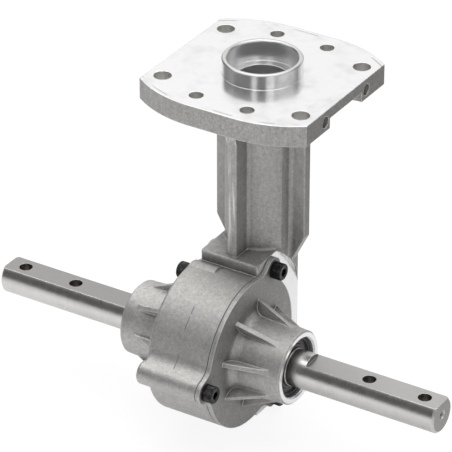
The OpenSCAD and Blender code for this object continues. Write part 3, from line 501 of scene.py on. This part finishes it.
def shaft_steel(name):
    """Ground bar: fine rings on the round, milling streaks on the flats, dark drilled holes, painted shade on the
    left flat, the end faces and the centre holes, and a painted highlight along the edges.
    """
    material, tree, shader, place, normal = new_material(name, {"Metallic": 1.0})
    x, y, z = split(tree, place)
    nx, _, nz = split(tree, normal)
    radius = flat_distance(tree, y, z, shaft_axis)
    ax = size_of(tree, x)
    left = under(tree, x, 0.0)
    flat = calc(tree, "COMPARE", z, flat_level, TOUCH / 2)
    end = over(tree, size_of(tree, nx), SQUARE_ON)
    from_pin = [flat_distance(tree, ax, y, (pin_x, shaft_axis[0])) for pin_x in pin_holes]
    wall = all_of(tree, under(tree, calc(tree, "MINIMUM", *from_pin), pin_hole_r + TOUCH / 2),
                  under(tree, size_of(tree, nz), 0.5))

    rings = tool_rings(tree, blend_value(tree, end, ax, radius), 4.0, 4.0, 0.6)
    milled = speckle(tree, place, 1.1 * MM, 4.0, 0.65, (0.12, 1, 1))
    mottle = speckle(tree, place, 4 * MM, 5.0, 0.7)
    stain = speckle(tree, place, 17 * MM, 3.0)
    nicks = ramp(tree, speckle(tree, place, 1.4 * MM, 3.0, 0.6, (0.5, 1, 1)), 0.68, 0.75)
    grain = blend_value(tree, flat, rings, milled)
    shade = all_of(tree, vary(tree, grain, 0.26, 0.87), vary(tree, mottle, 0.30, 0.85),
                   vary(tree, stain, 0.24, 0.88))
    shade = calc(tree, "SUBTRACT", shade, calc(tree, "MULTIPLY", nicks, 0.04))

    # Painted shade: the left flat gets a darker grey and a larger share than the right one.
    flat_tint = blend_color(tree, left, right_flat_grey, left_flat_shade)
    # Painted shade: the end faces are painted dark grey.
    end_shade_tint = shaded(tree, end_shade_grey, vary(tree, rings, 1.2, 0.4))
    rounded, edge = rounded_edge_highlight(tree, bar_edge_r, 4, 0.85, 0.99)
    tint = shaded(tree, bar_grey, shade)
    tint = blend_color(tree, calc(tree, "MULTIPLY", flat, vary(tree, left, 0.12, 0.73)), tint, flat_tint)
    tint = blend_color(tree, calc(tree, "MULTIPLY", end, 0.85), tint, end_shade_tint)
    # Painted highlight: a pale line along the bar's sharp edges.
    tint = blend_color(tree, edge, tint, bar_edge_highlight)
    tint = blend_color(tree, wall, tint, pin_wall_grey)
    # Painted shade: the lathe centres in the ends are painted near black.
    tint = blend_color(tree, ramp(tree, radius, centre_dark_r, centre_r, 0.9, 0.0), tint, centre_hole_shade)
    roughness = blend_value(tree, any_of(tree, flat, end), vary(tree, mottle, 0.14, 0.22), 0.32)
    height = calc(tree, "MULTIPLY", calc(tree, "ADD", grain, nicks), vary(tree, end, 3.0, 1.0))
    finish_surface(tree, shader, tint, roughness, height, bar_relief, rounded)
    return material


shaft = add_rod(-shaft_half, shaft_half, shaft_r, bar_corners, shaft_axis)
shaft.name = shaft.data.name = "cross_shaft"
for side in (1, -1):
    chamfer_end(shaft, side * shaft_half, side, shaft_r, shaft_chamfer, shaft_axis)
for start, end, radius in ((-journal_half, journal_half, journal_r), (-seat_half, seat_half, seat_r),
                           (-wheel_seat_half, wheel_seat_half, wheel_seat_r),
                           (shoulder_end, -wheel_seat_half, shoulder_r)):
    combine(shaft, add_rod(start, end, radius, seat_corners, shaft_axis), "UNION")
y_axis, z_axis = shaft_axis
key_floor = z_axis + wheel_seat_r - key_size[2] / 2
combine(shaft, add_block((-key_size[0] / 2, y_axis - key_size[1] / 2, key_floor),
                         (key_size[0] / 2, y_axis + key_size[1] / 2, key_floor + key_size[2])), "DIFFERENCE")
for side, start in zip((1, -1), flat_ends):
    near, far = sorted((start, side * (shaft_half + MM)))
    combine(shaft, add_block((near, y_axis - cutter_half, flat_level),
                             (far, y_axis + cutter_half, flat_level + cutter_height)), "DIFFERENCE")
    for pin_x in pin_holes:
        bpy.ops.object.select_all(action="DESELECT")
        bpy.ops.mesh.primitive_cylinder_add(vertices=pin_corners, radius=pin_hole_r, depth=4 * shaft_r,
                                            location=(side * pin_x, y_axis, z_axis))
        combine(shaft, settle(), "DIFFERENCE")
    bpy.ops.object.select_all(action="DESELECT")
    bpy.ops.mesh.primitive_cone_add(vertices=centre_corners, radius1=1.1 * centre_r, radius2=0,
                                    depth=2.2 * centre_r, rotation=(0, -side * math.pi / 2, 0),
                                    location=(side * (shaft_half - 0.9 * centre_r), y_axis, z_axis))
    combine(shaft, settle(), "DIFFERENCE")
smooth(shaft)
shaft.data.materials.clear()
shaft.data.materials.append(shaft_steel("shaft_steel"))
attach(shaft, "output")
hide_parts("output_shaft")

# Spacer sleeves and ball bearings of the cross shaft: turned sleeves keep the wheel between the
# two bearings, whose rings and balls are ground and polished.
sleeve_grey, sleeve_rough = (0.52, 0.51, 0.50), 0.28
dress(turned_steel("sleeve_steel", sleeve_grey, sleeve_rough, "x", shaft_axis), "spacer_left", "spacer_right")
dress(turned_steel("cross_ring_steel", ring_grey, ring_rough, "x", shaft_axis),
      *nodes_named("bearing_", ring_ends))

# Shaft seals: black rubber lips moulded on a steel ring, pressed into the mouth of each hub.
# The steel ring shows as a pale line in the dark recess, and the lip's edge has a pale line painted on as a
# highlight.
seal_ring_r, seal_lip_r = 15.4 * MM, 12.2 * MM
rubber_dark, rubber_dust, seal_steel_and_highlight = (0.014, 0.014, 0.014), (0.03, 0.03, 0.031), (0.30, 0.29, 0.28)


def seal_rubber(name):
    """Greased black rubber with a steel ring near its rim and a painted highlight on the lip's edge."""
    material, tree, shader, place, _ = new_material(name, {})
    _, y, z = split(tree, place)
    radius = flat_distance(tree, y, z, shaft_axis)
    dust = speckle(tree, place, 1.3 * MM, 4.0)
    ring = calc(tree, "MULTIPLY", ramp(tree, radius, seal_ring_r, seal_ring_r + 0.2 * MM), 0.9)
    # Painted highlight: a pale, metallic line along the lip's edge.
    lip = ramp(tree, away(tree, radius, seal_lip_r), 0.05 * MM, 0.25 * MM, 0.4, 0.0)
    steel = any_of(tree, ring, lip)
    tint = blend_color(tree, steel, blend_color(tree, dust, rubber_dark, rubber_dust), seal_steel_and_highlight)
    tree.links.new(calc(tree, "MULTIPLY", steel, 0.9), shader.inputs["Metallic"])
    finish_surface(tree, shader, tint, vary(tree, dust, 0.2, 0.28), dust, 0.02 * MM)
    return material


dress(seal_rubber("seal_rubber"), "seal_left", "seal_right")

# Gasket: thin dark fibre sheet, clamped between the case and the cover. Only its edge shows,
# as a dark line between the two castings.
fibre_dark, fibre_pale = (0.02, 0.022, 0.02), (0.075, 0.085, 0.072)


def gasket_fibre(name):
    """Oily dark fibre sheet."""
    material, tree, shader, place, _ = new_material(name, {})
    fibre = speckle(tree, place, 0.5 * MM, 4.0, 0.7)
    soak = speckle(tree, place, 6 * MM, 3.0)
    finish_surface(tree, shader, blend_color(tree, soak, fibre_dark, fibre_pale),
                   vary(tree, fibre, 0.2, 0.6), fibre, 0.04 * MM)
    return material


dress(gasket_fibre("gasket_fibre"), "cover_gasket")

# Side cover: a second die casting, a round plate with three screw lobes and the right hub with
# its eight gussets. Only the hub's end ring and its bore are machined.
cover_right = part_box("side_cover")[1].x


def cover_zones(tree, place, normal):
    """Machined zones of the side cover."""
    x, y, z = split(tree, place)
    from_shaft = flat_distance(tree, y, z, shaft_axis)
    ring = over(tree, x, cover_right - TOUCH)
    return {"cut": any_of(tree, ring, under(tree, from_shaft, hub_bore_r + TOUCH)), "white": ring,
            "turning": from_shaft}


dress(aluminium("cover_aluminium", cover_zones), "side_cover")

# Cover screws: three black M5 socket head screws with knurled heads, one in each lobe, which
# clamp the cover and its gasket to the case.
head_r, head_h, head_chamfer, head_round = 4.45 * MM, 5.7 * MM, 0.5 * MM, 0.18 * MM
knurls, knurl_share = 40, 0.94
socket_r, socket_depth = 4 * MM / math.sqrt(3), 2.75 * MM
shank_r, shank_corners, shank_chamfer = 2.5 * MM, 32, 0.6 * MM
round_angle = 65
lobe_angles, lobe_reach = (60, 180, 300), 43 * MM
cover_seat, cover_screw_length = 18.8 * MM, 14 * MM


def soften(piece, width, angle):
    """Rounds the piece's edges that are sharper than the angle, then smooths it."""
    rim = piece.modifiers.new("rim", "BEVEL")
    rim.width = width
    rim.segments = 2
    rim.limit_method = "ANGLE"
    rim.angle_limit = math.radians(angle)
    bpy.context.view_layer.objects.active = piece
    bpy.ops.object.modifier_apply(modifier=rim.name)
    smooth(piece)


def socket_screw(name, seat, out, length, at):
    """Socket head screw whose head stands on the seat and points out along +X or -X."""
    top = seat + out * head_h
    screw = add_rod(seat, top, head_r, 2 * knurls, at)
    screw.name = screw.data.name = name
    chamfer_end(screw, top, out, head_r, head_chamfer, at)

    def in_groove(p):
        turn = math.atan2(p.z - at[1], p.y - at[0]) / (math.pi / knurls)
        return math.hypot(p.y - at[0], p.z - at[1]) > head_r - TOUCH and round(turn) % 2 == 0

    select_points(screw, in_groove)
    bpy.ops.transform.resize(value=(1, knurl_share, knurl_share), center_override=(seat, *at))
    bpy.ops.object.mode_set(mode="OBJECT")
    combine(screw, add_rod(top - out * socket_depth, top + out * MM, socket_r, 6, at), "DIFFERENCE")
    shank = add_rod(seat - out * length, seat + out * MM, shank_r, shank_corners, at)
    select_points(shank, lambda p: abs(p.x - seat + out * length) < same_point)
    bpy.ops.mesh.bevel(offset=shank_chamfer, affect="EDGES")
    bpy.ops.object.mode_set(mode="OBJECT")
    combine(screw, shank, "UNION")
    soften(screw, head_round, round_angle)
    screw.data.materials.clear()
    screw.data.materials.append(oxide)
    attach(screw, "housing")
    return screw


def screw_place(angle, reach):
    """Place of a screw round the cross shaft's axis."""
    turn = math.radians(angle)
    return shaft_axis[0] + reach * math.cos(turn), shaft_axis[1] + reach * math.sin(turn)


first_place = screw_place(lobe_angles[0], lobe_reach)
first_screw = socket_screw("cover_screw_1", cover_seat, 1, cover_screw_length, first_place)
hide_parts("cover_screws")
for count, angle in enumerate(lobe_angles[1:], 2):
    screw = first_screw.copy()
    screw.data = first_screw.data.copy()
    screw.name = screw.data.name = f"cover_screw_{count}"
    bpy.context.scene.collection.objects.link(screw)
    across, up = screw_place(angle, lobe_reach)
    for point in screw.data.vertices:
        point.co.y += across - first_place[0]
        point.co.z += up - first_place[1]
    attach(screw, "housing")
    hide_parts("cover_screws")

# Filler screw: a shorter screw of the same kind, which closes the grease hole on the left face
# over a soft copper washer.
filler_angle, filler_reach = 84.5, 33.3 * MM
filler_seat, filler_length = -19.3 * MM, 6 * MM
copper, copper_rough = (0.40, 0.25, 0.19), 0.38
filler_place = screw_place(filler_angle, filler_reach)
filler = socket_screw("filler_screw", filler_seat, -1, filler_length, filler_place)
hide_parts("filler_plug")
dress(turned_steel("washer_copper", copper, copper_rough, "x", filler_place), "filler_washer")

# Floor: a plain pale studio floor that keeps a faint shadow of the gearbox and runs into the
# white background. It shines on the metal from the front left and a little from the back right.
floor_size = 12
paint_level, seen_paint, seen_glow = 0.42, 0.13, 0.89
front_way, front_glow = (-0.30, -0.95, 0), 0.78
back_way, back_glow = (0.53, 0.85, 0), 0.25
bpy.ops.object.select_all(action="DESELECT")
bpy.ops.mesh.primitive_plane_add(size=floor_size, location=(0, 0, cad_box[0][2]))
floor = bpy.context.object
floor.name = "floor"
floor_paint = bpy.data.materials.new("floor_paint")
floor_paint.use_nodes = True
tree = floor_paint.node_tree
tree.nodes.clear()
seen = node(tree, "LightPath").outputs["Is Camera Ray"]
on_floor = node(tree, "TexCoord").outputs["Object"]
reach = node(tree, "VectorMath", {0: on_floor}, operation="LENGTH").outputs["Value"]
front = all_of(tree, ramp(tree, dot(tree, on_floor, front_way), -0.2, 0.25, 0.0, front_glow),
               ramp(tree, reach, 0.12, 0.36, 1.0, 0.45))
back = all_of(tree, ramp(tree, dot(tree, on_floor, back_way), 0.0, 0.09, 0.0, back_glow),
              ramp(tree, reach, 0.20, 0.34, 1.0, 0.0))
paint = node(tree, "BsdfDiffuse", {"Color": blend_color(tree, seen, (paint_level,) * 3, (seen_paint,) * 3)})
glow = node(tree, "Emission", {"Color": (1, 1, 1, 1),
                               "Strength": blend_value(tree, seen, calc(tree, "ADD", front, back), seen_glow)})
both = node(tree, "AddShader", {0: paint.outputs[0], 1: glow.outputs[0]})
node(tree, "OutputMaterial", {"Surface": both.outputs[0]})
floor.data.materials.append(floor_paint)

# Studio: a dim room with a white wall behind the gearbox, a pale wall to its right, a bright
# ceiling and two upright light strips, one on each side of the camera. The background is white.
room_level = 0.10
back_at, back_level = (203, 14), 0.85
right_at, right_level = (100, 38), 0.68
ceiling_at, ceiling_level = (180, 82), 1.7
strips, strip_level, strip_fade = ((8, 9), (53, 13)), 0.72, 3
strip_middle, strip_core, strip_half = 0.42, 0.34, 0.40
world = bpy.data.worlds.new("studio")
bpy.context.scene.world = world
world.use_nodes = True
tree = world.node_tree
tree.nodes.clear()


def aim(azimuth, rise):
    """Direction from the gearbox, the azimuth measured from the front towards the right."""
    turn, lift = math.radians(azimuth), math.radians(rise)
    return math.cos(lift) * math.sin(turn), -math.cos(lift) * math.cos(turn), math.sin(lift)


ray = node(tree, "LightPath").outputs
direction = node(tree, "TexCoord").outputs["Generated"]
back_wall = ramp(tree, dot(tree, direction, aim(*back_at)), 0.58, 0.94)
right_wall = ramp(tree, dot(tree, direction, aim(*right_at)), 0.72, 1.0, 0.0, right_level)
ceiling = ramp(tree, dot(tree, direction, aim(*ceiling_at)), 0.70, 1.0, 0.0, ceiling_level)
level = calc(tree, "ADD", vary(tree, back_wall, back_level, room_level), calc(tree, "ADD", right_wall, ceiling))
x, y, z = split(tree, direction)
azimuth = calc(tree, "ARCTAN2", x, calc(tree, "MULTIPLY", y, -1))
for middle, half in strips:
    strip = all_of(tree, ramp(tree, away(tree, azimuth, math.radians(middle)), math.radians(half - strip_fade),
                              math.radians(half), strip_level, 0.0),
                   ramp(tree, away(tree, z, strip_middle), strip_core, strip_half, 1.0, 0.0))
    level = calc(tree, "ADD", level, strip)
mirrored = all_of(tree, any_of(tree, ray["Is Glossy Ray"], ray["Is Transmission Ray"]), back_wall)
strength = blend_value(tree, any_of(tree, ray["Is Camera Ray"], mirrored), level, 1.0)
glow = node(tree, "Background", {"Color": (1, 1, 1, 1), "Strength": strength})
node(tree, "OutputWorld", {"Surface": glow.outputs[0]})

# Soft box: one large lamp high over the gearbox, a little to the left and behind. It is aimed
# at the gear chamber.
lamp_size, lamp_power = 1.7, 12
lamp_place, lamp_target = Vector((-0.35, 0.05, 1.15)), Vector((0, 0, -0.08))
lamp_data = bpy.data.lights.new("soft_box", "AREA")
lamp_data.shape = "RECTANGLE"
lamp_data.size = lamp_data.size_y = lamp_size
lamp_data.energy = lamp_power
lamp = bpy.data.objects.new("soft_box", lamp_data)
bpy.context.scene.collection.objects.link(lamp)
lamp.location = lamp_place
lamp.rotation_euler = (lamp_target - lamp_place).to_track_quat("-Z", "Y").to_euler()

# Camera: the photograph's view, from the front right and above, with a long lens. It was solved
# on the flange, the collar, the shaft and the cover.
camera_place, camera_turn, camera_rise = (0.7703, -1.2831, 0.7856), 31.663, 30.272
camera_data = bpy.data.cameras.new("camera")
camera_data.sensor_width = 36
camera_data.lens = 274.4
camera_data.clip_end = 50
camera = bpy.data.objects.new("camera", camera_data)
bpy.context.scene.collection.objects.link(camera)
camera.location = camera_place
camera.rotation_euler = (math.radians(90 - camera_rise), 0, math.radians(camera_turn))
bpy.context.scene.camera = camera
bpy.context.scene.view_settings.view_transform = "Standard"
